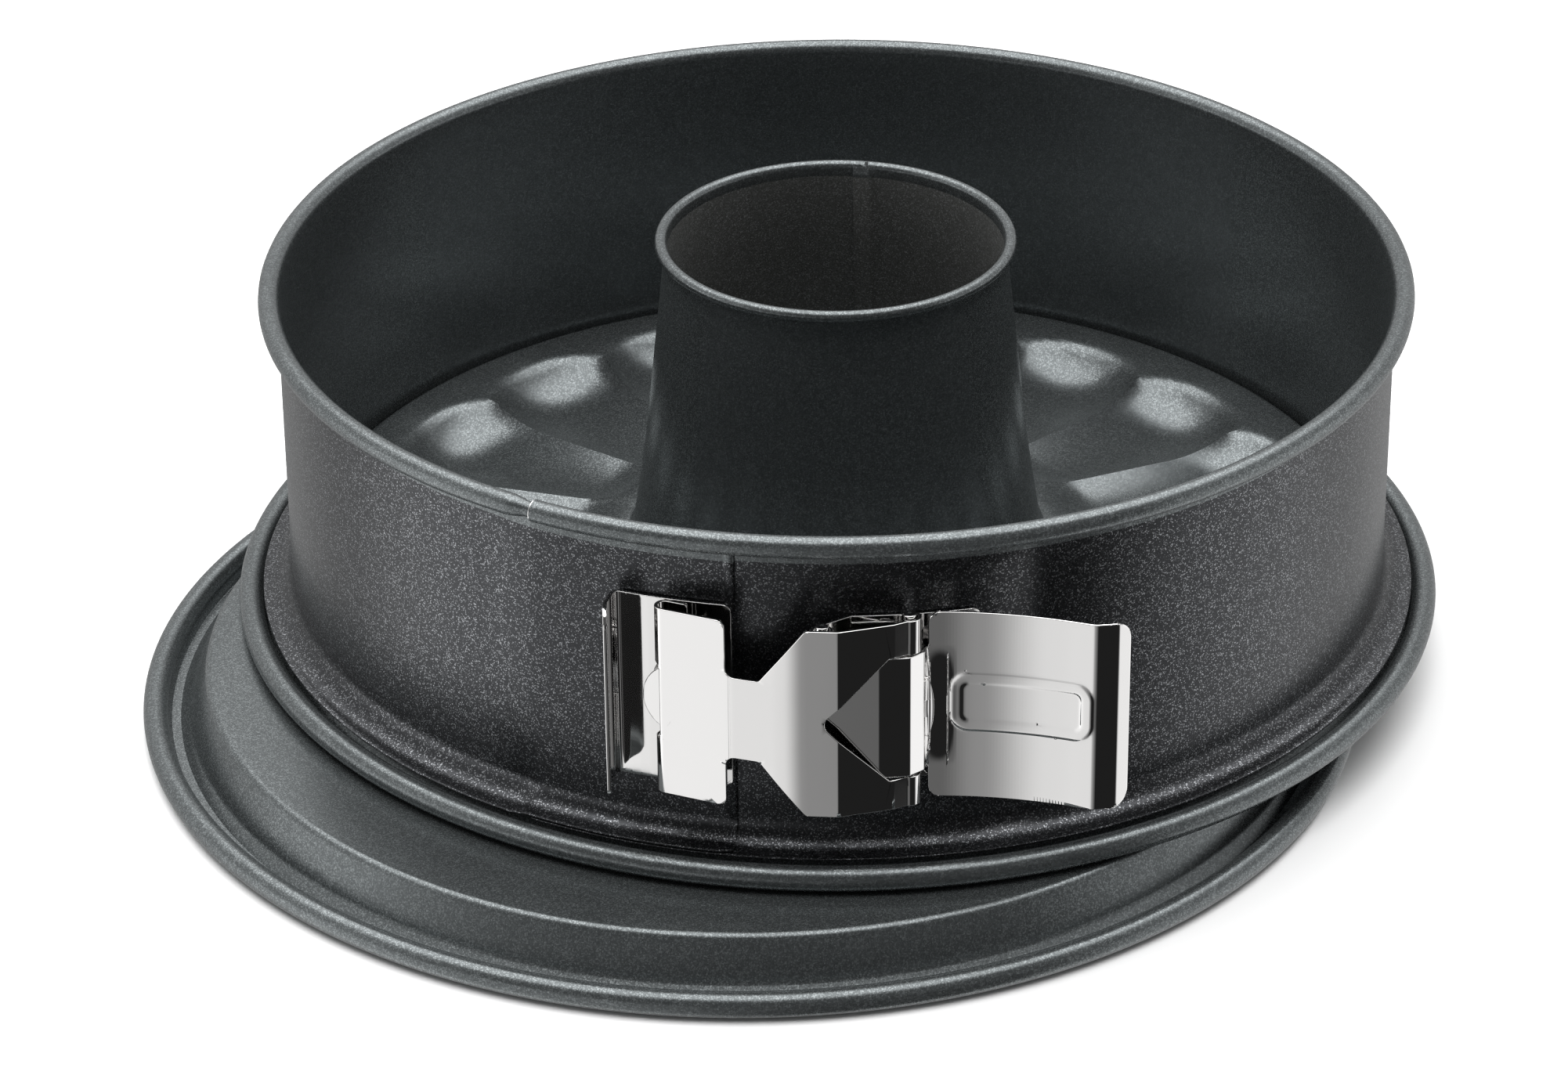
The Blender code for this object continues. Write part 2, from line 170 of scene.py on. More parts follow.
@dataclass(frozen=True)
class FlakedCoating:
    """Silicone release coating with metal flakes, sprayed on steel sheet and baked.

    It gives the eye a dark satin whose flakes glint one by one inside the broad highlights.
    """

    name: str
    resin: str
    flake: str
    roughness: float
    metallic: float
    flake_tilt: float
    flake_share: float
    flake_mm: float = 0.24  # real flakes are near 0.05 mm; drawn as coarse as it needs to show
    cloud_mm: float = 26.0
    peel_mm: float = 1.6

    def make(self) -> bpy.types.Material:
        """Builds the material and returns it."""
        material, tree, shader = new_material(self.name)
        shader.inputs["Specular IOR Level"].default_value = 0.42
        place = add_node(tree, "ShaderNodeTexCoord").outputs["Object"]
        cells = add_node(
            tree, "ShaderNodeTexVoronoi", {"Vector": place, "Scale": 1 / (self.flake_mm * MM)}
        )
        parts = add_node(tree, "ShaderNodeSeparateColor", {"Color": cells.outputs["Color"]})
        chosen = add_node(
            tree,
            "ShaderNodeMapRange",
            {"Value": parts.outputs["Red"], "From Min": 1 - self.flake_share, "From Max": 1.0},
            interpolation_type="SMOOTHSTEP",
        )
        shade = add_node(
            tree,
            "ShaderNodeMix",
            {"Factor": chosen.outputs["Result"]},
            data_type="RGBA",
        )
        # The mix node has one set of sockets per data type, so the colour ones are set by index.
        shade.inputs[6].default_value = linear(self.resin)
        shade.inputs[7].default_value = linear(self.flake)
        cloud = add_noise(tree, place, self.cloud_mm, 3.0)
        tone = add_node(
            tree,
            "ShaderNodeMapRange",
            {"Value": cloud, "To Min": 0.90, "To Max": 1.10},
        )
        toned = add_node(
            tree,
            "ShaderNodeVectorMath",
            {0: shade.outputs[2], "Scale": tone.outputs["Result"]},
            operation="SCALE",
        )
        tree.links.new(toned.outputs[0], shader.inputs["Base Color"])
        shader.inputs["Metallic"].default_value = self.metallic
        gloss = add_node(
            tree,
            "ShaderNodeMapRange",
            {
                "Value": parts.outputs["Green"],
                "To Min": self.roughness - 0.05,
                "To Max": self.roughness + 0.05,
            },
        )
        tree.links.new(gloss.outputs["Result"], shader.inputs["Roughness"])
        self._tilt_flakes(tree, cells.outputs["Color"], place, shader)
        return material

    def _tilt_flakes(
        self,
        tree: bpy.types.NodeTree,
        random_colour: bpy.types.NodeSocket,
        place: bpy.types.NodeSocket,
        shader: bpy.types.Node,
    ) -> None:
        """Turns each flake a little its own way, over the faint orange peel of the spray.

        Args:
            tree: The material's node tree.
            random_colour: A colour that is constant over one flake.
            place: Object coordinates in metres.
            shader: The shader whose normal is set.
        """
        peel = add_noise(tree, place, self.peel_mm, 2.0)
        skin = add_node(
            tree,
            "ShaderNodeBump",
            {"Height": peel, "Strength": 0.25, "Distance": 0.02 * MM},
        )
        centred = add_node(
            tree,
            "ShaderNodeVectorMath",
            {0: random_colour, 1: (0.5, 0.5, 0.5)},
            operation="SUBTRACT",
        )
        tilt = add_node(
            tree,
            "ShaderNodeVectorMath",
            {0: centred.outputs[0], "Scale": self.flake_tilt},
            operation="SCALE",
        )
        turned = add_node(
            tree,
            "ShaderNodeVectorMath",
            {0: skin.outputs["Normal"], 1: tilt.outputs[0]},
            operation="ADD",
        )
        unit = add_node(
            tree, "ShaderNodeVectorMath", {0: turned.outputs[0]}, operation="NORMALIZE"
        )
        tree.links.new(unit.outputs[0], shader.inputs["Normal"])


@dataclass(frozen=True)
class NickelPlate:
    """Bright nickel plated on rolled strip steel.

    It gives the eye clean mirror reflections with a warm cast, and a trace of the strip's
    rolling lines and of handling.
    """

    name: str = "bright_nickel_plate"
    colour: str = "e9e8e7"
    roughness: float = 0.04
    smear_mm: float = 9.0
    line_mm: float = 0.5

    def make(self) -> bpy.types.Material:
        """Builds the material and returns it."""
        material, tree, shader = new_material(self.name)
        shader.inputs["Base Color"].default_value = linear(self.colour)
        shader.inputs["Metallic"].default_value = 1.0
        place = add_node(tree, "ShaderNodeTexCoord").outputs["Object"]
        smear = add_noise(tree, place, self.smear_mm, 4.0)
        gloss = add_node(
            tree,
            "ShaderNodeMapRange",
            {
                "Value": smear,
                "From Min": 0.35,
                "From Max": 0.75,
                "To Min": self.roughness,
                "To Max": self.roughness + 0.05,
            },
        )
        tree.links.new(gloss.outputs["Result"], shader.inputs["Roughness"])
        stretched = add_node(
            tree, "ShaderNodeMapping", {"Vector": place, "Scale": (0.05, 0.05, 1.0)}
        )
        lines = add_noise(tree, stretched.outputs[0], self.line_mm, 2.0)
        bump = add_node(
            tree,
            "ShaderNodeBump",
            {"Height": lines, "Strength": 0.06, "Distance": 0.01 * MM},
        )
        tree.links.new(bump.outputs["Normal"], shader.inputs["Normal"])
        return material


# ---------------------------------------------------------------- shaping


def arc(centre: Point, radius: float, start: float, end: float, steps: int) -> Line:
    """Points on an arc.

    Args:
        centre: Centre of the arc.
        radius: Its radius.
        start: First angle in degrees.
        end: Last angle in degrees.
        steps: Number of chords.

    Returns:
        The points, both ends included.
    """
    turns = [math.radians(start + (end - start) * i / steps) for i in range(steps + 1)]
    return [(centre[0] + radius * math.cos(a), centre[1] + radius * math.sin(a)) for a in turns]


def eased(corners: Sequence[tuple[float, float, float]], closed: bool, steps: int = 5) -> Line:
    """A line through corners, each rounded by its own radius.

    Args:
        corners: X, Y and radius of each corner.
        closed: Whether the last corner joins the first.
        steps: Fewest chords in each rounding.

    Returns:
        The rounded line.
    """
    points: Line = []
    last = len(corners) - 1
    for i, (x, y, radius) in enumerate(corners):
        if radius == 0 or (not closed and i in (0, last)):
            points.append((x, y))
            continue
        here = Vector((x, y))
        back = (Vector(corners[i - 1][:2]) - here).normalized()
        ahead = (Vector(corners[(i + 1) % len(corners)][:2]) - here).normalized()
        half = back.angle(ahead) / 2
        reach = radius / math.tan(half)
        centre = here + (back + ahead).normalized() * (radius / math.sin(half))
        first = here + back * reach - centre
        turn = first.angle_signed(here + ahead * reach - centre)
        count = max(steps, math.ceil(abs(turn) * radius / LONGEST_CHORD))
        for k in range(count + 1):
            points.append(tuple(centre + Matrix.Rotation(-turn * k / count, 2) @ first))
    return points


def on_ring(radius: float, azimuth: float) -> Point:
    """The plan point at a radius and azimuth."""
    a = math.radians(azimuth)
    return (radius * math.sin(a), -radius * math.cos(a))


def thickened(line: Line, thickness: float, rounding: int = 4) -> Line:
    """The outline of a sheet, from its middle line, with rounded edges.

    Args:
        line: Middle line.
        thickness: Thickness of the sheet.
        rounding: Chords round each edge.

    Returns:
        A closed outline: the left side, the far edge, the right side, the near edge.
    """
    half = thickness / 2
    left: Line = []
    right: Line = []
    for i, (x, y) in enumerate(line):
        before = Vector(line[max(i - 1, 0)])
        after = Vector(line[min(i + 1, len(line) - 1)])
        here = Vector((x, y))
        into = (here - before).normalized() if i else (after - here).normalized()
        out = (after - here).normalized() if i < len(line) - 1 else into
        mean = (into + out).normalized()
        side = Vector((-mean.y, mean.x)) * (half / max(0.5, mean.dot(out)))
        left.append((x + side.x, y + side.y))
        right.append((x - side.x, y - side.y))

    def edge(tip: Point, start: Point) -> Line:
        """The half circle round a sheet's end.

        Args:
            tip: End of the middle line.
            start: Point of the outline where the half circle starts.

        Returns:
            The points between the outline's two sides.
        """
        first = math.degrees(math.atan2(start[1] - tip[1], start[0] - tip[0]))
        return arc(tip, half, first, first - 180, rounding)[1:-1]

    return left + edge(line[-1], left[-1]) + right[::-1] + edge(line[0], right[0])


def skin(
    rows: Sequence[Sequence[tuple[float, float, float]]], round_shut: bool, loop: bool
) -> bpy.types.Mesh:
    """A skin over rows of points, all of one length.

    Args:
        rows: Rows of points in millimetres.
        round_shut: Whether the last row joins the first.
        loop: Whether each row is a closed outline.

    Returns:
        The mesh, in millimetres.
    """
    count = len(rows[0])
    verts = [p for row in rows for p in row]
    faces: list[tuple[int, ...]] = []
    for i in range(len(rows) if round_shut else len(rows) - 1):
        a, b = i * count, ((i + 1) % len(rows)) * count
        for k in range(count if loop else count - 1):
            m = (k + 1) % count
            faces.append((a + k, a + m, b + m, b + k))
    if not round_shut:
        faces.append(tuple(reversed(range(count))))
        faces.append(tuple(range((len(rows) - 1) * count, len(rows) * count)))
    mesh = bpy.data.meshes.new("skin")
    mesh.from_pydata(verts, [], faces)
    bm = bmesh.new()
    bm.from_mesh(mesh)
    bmesh.ops.remove_doubles(bm, verts=bm.verts, dist=0.002)
    bmesh.ops.recalc_face_normals(bm, faces=bm.faces)
    bm.to_mesh(mesh)
    bm.free()
    return mesh


def turned(outline: Line, steps: int, loop: bool = True) -> bpy.types.Mesh:
    """Turns an outline of radius and height points once round the axis.

    Args:
        outline: The outline.
        steps: Number of steps round the axis.
        loop: Whether the outline is closed.

    Returns:
        The mesh.
    """
    rows = []
    for i in range(steps):
        c, s = on_ring(1.0, 360 * i / steps)
        rows.append([(r * c, r * s, z) for r, z in outline])
    return skin(rows, True, loop)


def bent_sheet(
    outline: Line,
    path: Line,
    relief: Callable[[float, float], float] | None = None,
    fine: tuple[float, float, float, float, float] | None = None,
) -> bpy.types.Mesh:
    """Cuts a flat blank and bends it along a plan path.

    Args:
        outline: Edge of the blank: length along the path and height.
        path: Middle line of the bent sheet in plan.
        relief: Height pressed outwards at a place on the blank.
        fine: First and last length, first and last height, and pitch of the pressed part.

    Returns:
        The open middle surface.
    """
    lengths = [0.0]
    for a, b in zip(path, path[1:]):
        lengths.append(lengths[-1] + math.dist(a, b))
    bm = bmesh.new()
    corners = [bm.verts.new((u, z, 0)) for u, z in outline]
    edges = [bm.edges.new((v, corners[(i + 1) % len(corners)])) for i, v in enumerate(corners)]
    bmesh.ops.triangle_fill(bm, use_beauty=True, use_dissolve=False, edges=edges)
    creases = lengths[1:-1]
    for a, b in zip(lengths, lengths[1:]):
        if b - a > 3 * FLAT_EDGE:  # keeps a flat's shading flat up to its bends
            creases = creases + [a + FLAT_EDGE, b - FLAT_EDGE]
            count = int((b - a) / FLAT_PITCH)
            creases += [a + (b - a) * k / count for k in range(1, count)]
    cuts = [((u, 0, 0), (1, 0, 0)) for u in creases]
    if fine:
        u0, u1, z0, z1, pitch = fine
        cuts += [((u0 + i * pitch, 0, 0), (1, 0, 0)) for i in range(int((u1 - u0) / pitch) + 1)]
        cuts += [((0, z0 + i * pitch, 0), (0, 1, 0)) for i in range(int((z1 - z0) / pitch) + 1)]
    for place, across in cuts:
        geometry = bm.verts[:] + bm.edges[:] + bm.faces[:]
        bmesh.ops.bisect_plane(bm, geom=geometry, dist=0.0005, plane_co=place, plane_no=across)
    sides = []
    for i in range(len(path)):
        along = Vector(path[min(i + 1, len(path) - 1)]) - Vector(path[max(i - 1, 0)])
        sides.append(Vector((along.y, -along.x)).normalized())
    for vert in bm.verts:
        u, z = vert.co.x, vert.co.y
        i = max(0, min(len(path) - 2, sum(length < u - 1e-6 for length in lengths) - 1))
        share = (u - lengths[i]) / (lengths[i + 1] - lengths[i])
        place = Vector(path[i]).lerp(Vector(path[i + 1]), share)
        if relief:
            place += sides[i].lerp(sides[i + 1], share) * relief(u, z)
        vert.co = (place.x, place.y, z)
    bmesh.ops.recalc_face_normals(bm, faces=bm.faces)
    mesh = bpy.data.meshes.new("bent_sheet")
    bm.to_mesh(mesh)
    bm.free()
    return mesh


def span_of(path: Line) -> float:
    """The whole length of a path."""
    return sum(math.dist(a, b) for a, b in zip(path, path[1:]))


def length_at(path: Line, x: float, start: int = 0) -> float:
    """The length along a plan path where it first reaches an X.

    Args:
        path: The path.
        x: The X to reach.
        start: Index of the point from which to look.

    Returns:
        The length from the path's first point.
    """
    length = span_of(path[: start + 1])
    for a, b in zip(path[start:], path[start + 1 :]):
        if a[0] <= x <= b[0]:
            return length + math.dist(a, b) * (x - a[0]) / (b[0] - a[0])
        length += math.dist(a, b)
    return length


@dataclass
class Workshop:
    """Turns meshes into pieces that ride on the frame."""

    axis: Vector  # foot of the axis that the pieces are shaped round

    def piece(
        self,
        name: str,
        mesh: bpy.types.Mesh,
        finishes: Sequence[bpy.types.Material],
        body: Body,
        slot: Slot,
        nodes: Sequence[str],
        thickness: float = 0.0,
        edge: float = 0.0,
    ) -> bpy.types.Object:
        """Makes one piece and hangs it on the frame.

        Args:
            name: The piece's name.
            mesh: Its mesh, in millimetres from the axis.
            finishes: Its materials.
            body: The body it rides on.
            slot: The record's slot of its finish. Not used.
            nodes: The frame's nodes it stands for.
            thickness: Sheet thickness to add to an open surface.
            edge: Radius broken off its edges.

        Returns:
            The piece.
        """
        mesh.transform(Matrix.Translation(self.axis) @ Matrix.Scale(MM, 4))
        obj = bpy.data.objects.new(name, mesh)
        bpy.context.scene.collection.objects.link(obj)
        for finish in finishes:
            mesh.materials.append(finish)
        if thickness:
            sheet = obj.modifiers.new("sheet", "SOLIDIFY")
            sheet.thickness = thickness * MM
            sheet.offset = 0
            sheet.use_even_offset = True
        if edge:
            rounding = obj.modifiers.new("edge", "BEVEL")
            rounding.width = edge * MM
            rounding.segments = 2
            rounding.limit_method = "ANGLE"
            rounding.angle_limit = math.radians(BROKEN_ANGLE)
            rounding.use_clamp_overlap = False
            facing = obj.modifiers.new("facing", "WEIGHTED_NORMAL")
            facing.keep_sharp = True
        mesh.shade_smooth()
        mesh.set_sharp_from_angle(angle=math.radians(SHARP_ANGLE))
        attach(obj, body.value)
        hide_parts(*nodes)
        LOG.info("%s: %d faces", name, len(mesh.polygons))
        return obj


# ---------------------------------------------------------------- pan


@dataclass
class BaseShape:
    """The outline that both bases share, from the floor's edge to the rolled rim."""

    sheet: float = 0.6
    floor_height: float = 12.6
    rim_radius: float = 144.0
    roll: float = 2.6
    steps: int = 240

    def outside(self) -> Line:
        """Middle line from the floor's edge to the end of the rolled rim."""
        half = self.sheet / 2
        top = self.floor_height - half
        shoulder = eased(
            [
                (122.0, top, 0.0),
                (128.3, top, 1.8),
                (132.6, 2.6, 3.4),
                (135.0, half, 0.0),
            ],
            closed=False,
            steps=7,
        )[1:-1]
        gutter = [(135.2, half), (137.6, half)]
        centre = (self.rim_radius - half - self.roll, half + self.roll)
        rim = arc(centre, self.roll, 196, -55, 22)
        return shoulder + gutter + rim


@dataclass
class FlatBase(BaseShape):
    """The spare flat base."""

    def build(self, shop: Workshop, coating: bpy.types.Material) -> None:
        """Builds the base.

        Args:
            shop: Makes the piece.
            coating: Its finish.
        """
        top = self.floor_height - self.sheet / 2
        line = [(0.0, top), (40.0, top), (80.0, top), (110.0, top)] + self.outside()
        outline = thickened(line, self.sheet)
        count = len(line)
        upper, tip, lower = outline[:count], outline[count : count + 3], outline[count + 3 :]
        strip = upper + tip + lower[:count]
        strip[0] = (0.0, strip[0][1])
        strip[-1] = (0.0, strip[-1][1])
        shop.piece(
            "spare_flat_base",
            turned(strip, self.steps, loop=False),
            [coating],
            Body.SPARE_BASE,
            Slot.RELEASE_COATING,
            ["flat_base"],
        )


@dataclass
class FlutedBase(BaseShape):
    """The tube base: a ring of pressed flutes round a central collar."""

    lobes: int = 19
    first_cusp: float = 116.9  # azimuth of a ridge between two flutes
    flute_start: float = 51.0
    cusp_radius: float = 110.0
    lobe_radius: float = 119.0
    depth: float = 9.0
    crest: float = 0.5  # share of the depth that the ridges between flutes lie under the floor
    outer_run: float = 17.0  # how far in from its end a flute reaches its full depth
    inner_run: float = 16.0
    lobe_steps: int = 18
    radial_steps: int = 40

    def height(self, radius: float, across: float) -> float:
        """Middle height of the fluted floor.

        Args:
            radius: Distance from the axis.
            across: Place across one flute, from -1 to 1.

        Returns:
            The height in millimetres.
        """
        floor = self.floor_height - self.sheet / 2
        reach = self.lobe_radius - self.cusp_radius
        edge = self.cusp_radius + reach * math.sqrt(max(0.0, 1 - across * across))
        outer = min(1.0, max(0.0, (edge - radius) / self.outer_run))
        inner = min(1.0, max(0.0, (radius - self.flute_start) / self.inner_run))
        bowl = (1 - (1 - outer) ** 2) * math.sin(inner * math.pi / 2) ** 2
        trough = self.crest + (1 - self.crest) * (1 - across * across)
        return floor - self.depth * bowl * trough * radius / self.cusp_radius

    def build(self, shop: Workshop, coating: bpy.types.Material) -> None:
        """Builds the base.

        Args:
            shop: Makes the piece.
            coating: Its finish.
        """
        floor = self.floor_height - self.sheet / 2
        collar = [(47.3, floor + 5.0), (47.3, floor + 2.0), (47.5, floor + 0.8), (48.6, floor)]
        span = self.lobe_radius + 1.0 - self.flute_start
        radii = [self.flute_start + span * i / self.radial_steps for i in range(self.radial_steps + 1)]
        count = self.lobes * self.lobe_steps
        rows = []
        for i in range(count):
            across = 2 * ((i / self.lobe_steps) % 1) - 1
            fluted = [(r, self.height(r, across)) for r in radii]
            outline = thickened(collar + fluted + self.outside(), self.sheet)
            c, s = on_ring(1.0, self.first_cusp + 360 * i / count)
            rows.append([(r * c, r * s, z) for r, z in outline])
        shop.piece(
            "fluted_tube_base",
            skin(rows, round_shut=True, loop=True),
            [coating],
            Body.PAN_BASE,
            Slot.RELEASE_COATING,
            ["tube_base"],
        )


@dataclass
class LappedWall:
    """A wall of sheet rolled into a circle, one end lapped over the other."""

    start: float  # azimuth of the first end
    lap: float  # angle that the ends overlap
    blend: float = 5.0  # angle over which the second end steps over the first
    clear: float = 0.6  # angle over which both ends already lie clear of each other
    step: float = 1.25
    first_rows: tuple[float, ...] = (0.06, 0.5)  # extra rows just after the first end
    seam_rows: tuple[float, ...] = (359.0, 359.4)  # extra rows where the second end has stepped over
    last_rows: tuple[float, ...] = (2.0, 1.5, 1.2, 1.0, 0.85, 0.5, 0.15, 0.08, 0.0)  # from its end

    def rows(
        self, profile: Callable[[float, float], Line], thickness: float
    ) -> list[list[tuple[float, float, float]]]:
        """Outlines round the wall.

        Args:
            profile: Middle line for a share of the step, and the angle left to the second end.
            thickness: Thickness of the sheet.

        Returns:
            One outline for each step round the axis.
        """
        whole = 360 + self.lap
        rows = []
        angles = [self.step * i for i in range(int(whole / self.step) + 1)]
        angles += [*self.first_rows, *self.seam_rows]
        angles += [whole - back for back in self.last_rows]
        for angle in sorted(set(a for a in angles if a <= whole)):
            share = (angle - (360 - self.blend)) / (self.blend - self.clear)
            share = min(1.0, max(0.0, share))
            share = share * share * (3 - 2 * share)
            outline = thickened(profile(share, whole - angle), thickness)
            c, s = on_ring(1.0, self.start + angle)
            rows.append([(r * c, r * s, z) for r, z in outline])
        return rows


@dataclass
class CentreTube:
    """The tapered centre tube, curled at its top and lapped at the back."""

    sheet: float = 0.6
    top: float = 92.0
    top_radius: float = 41.0
    foot_radius: float = 48.4
    foot_height: float = 13.2
    bead: float = 1.1
    inset: float = 0.7  # how far the second end steps inwards
    wall: LappedWall = field(default_factory=lambda: LappedWall(start=168.5, lap=4.7, blend=3.0))

    def profile(self, share: float, left: float) -> Line:
        """Middle line of the tube, stepped inwards where it laps.

        Args:
            share: Share of the step, 0 to 1.
            left: Angle left to the second end, which makes no difference here.

        Returns:
            Radius and height points from the curl to the foot.
        """
        inwards = self.inset * share
        centre = (self.top_radius, self.top - self.bead - self.sheet / 2)
        line = arc(centre, self.bead, -150, 180, 16)
        neck = self.top_radius - self.bead - inwards
        return line[:-1] + [
            (neck + inwards * 0.6, centre[1]),
            (neck, centre[1] - 2.0),
            (neck + 2.6, 64.0),
            (neck + 5.4, 38.0),
            (self.foot_radius - inwards, self.foot_height + 4.4),
            (self.foot_radius - inwards + 0.4, self.foot_height + 1.6),
            (self.foot_radius - inwards + 1.6, self.foot_height),
        ]

    def build(self, shop: Workshop, inside: bpy.types.Material, outside: bpy.types.Material) -> None:
        """Builds the tube.

        Args:
            shop: Makes the piece.
            inside: Finish of the bore: a copy of the coating with its tone retuned as painted shading
                for the bore.
            outside: Finish of the face that the cake meets.
        """
        mesh = skin(self.wall.rows(self.profile, self.sheet), round_shut=False, loop=True)
        finishes = [outside, inside]
        obj = shop.piece(
            "tapered_centre_tube", mesh, finishes, Body.PAN_BASE, Slot.WALL_COATING, ["centre_tube"]
        )
        for face in obj.data.polygons:
            place = (face.center - shop.axis) / MM
            out = Vector((place.x, place.y, 0)).normalized()
            # Inward faces below the curl take the bore's copy of the coating, whose tone is painted
            # shading.
            if face.normal.dot(out) < -0.5 and place.z < self.top - 2 * self.bead - 0.3:
                face.material_index = 1


@dataclass
class SprungRing:
    """The split ring: wall, curled rim and flared foot, with its ends lapped at the front."""

    sheet: float = 0.6
    radius: float = 130.7
    top: float = 83.6
    bead: float = 2.2
    foot_radius: float = 137.8
    foot_height: float = 5.7
    fillet: float = 5.8
    lap_gap: float = 0.15
    corner: float = 3.2  # rounded corner at the end of the foot, in degrees
    late_share: float = 0.93  # the rim and foot step out only once the wall has, to fit the seam
    hem: float = 0.45  # height of the ridge along the outer end
    hem_place: float = 0.5  # its middle, in degrees from the end
    hem_ramp: float = 0.15  # degrees over which it rises
    worn_end: float = 0.06  # degrees of the curl, from its first end, that are worn bare
    wall: LappedWall = field(default_factory=lambda: LappedWall(start=-30.2, lap=19.9, blend=7.0))

    def profile(self, share: float, left: float) -> Line:
        """Middle line of the ring, one sheet further out where it laps.

        Args:
            share: Share of the step, 0 to 1.
            left: Angle left to the outer end, in degrees.

        Returns:
            Radius and height points from the curl to the foot.
        """
        step = (self.sheet + self.lap_gap) * share
        late = (self.sheet + self.lap_gap) * max(0.0, share - self.late_share) / (1 - self.late_share)
        rise = (self.hem_place - abs(left - self.hem_place)) / self.hem_ramp
        hem = self.hem * min(1.0, max(0.0, rise))
        head = (self.radius + self.bead, self.top - self.bead - self.sheet / 2)
        foot = (self.radius + self.fillet, self.foot_height + self.fillet)
        line = arc(head, self.bead - late, -150, 180, 20)
        line += [(self.radius + step + hem, z) for z in (76.0, 70.0, 55.0, 40.0, 25.0, 13.0)]
        line += arc(foot, self.fillet - late, 180, 270, 12)
        reach = self.foot_radius
        if left < self.corner:
            sunk = 1 - left / self.corner
            reach -= (self.foot_radius - self.radius - self.fillet - 0.2) * (
                1 - math.sqrt(max(0.0, 1 - sunk * sunk))
            )
        return line + [(reach, self.foot_height + late)]

    def build(
        self,
        shop: Workshop,
        inside: bpy.types.Material,
        outside: bpy.types.Material,
        worn: bpy.types.Material,
    ) -> None:
        """Builds the ring.

        Args:
            shop: Makes the piece.
            inside: Finish of the inner face, which the curl turns outwards.
            outside: Finish of the outer face.
            worn: Finish of the curl's cut end, where the coating has rubbed thin.
        """
        mesh = skin(self.wall.rows(self.profile, self.sheet), round_shut=False, loop=True)
        obj = shop.piece(
            "sprung_ring", mesh, [outside, inside, worn], Body.RING, Slot.WALL_COATING, ["ring"]
        )
        for face in obj.data.polygons:
            place = (face.center - shop.axis) / MM
            out = Vector((place.x, place.y, 0)).normalized()
            curled = place.z > self.top - 2 * self.bead - 0.9
            if curled or face.normal.dot(out) < -0.3:
                face.material_index = 1
            azimuth = math.degrees(math.atan2(place.x, -place.y))
            if curled and 0 <= azimuth - self.wall.start < self.worn_end:
                face.material_index = 2


# ---------------------------------------------------------------- clasp


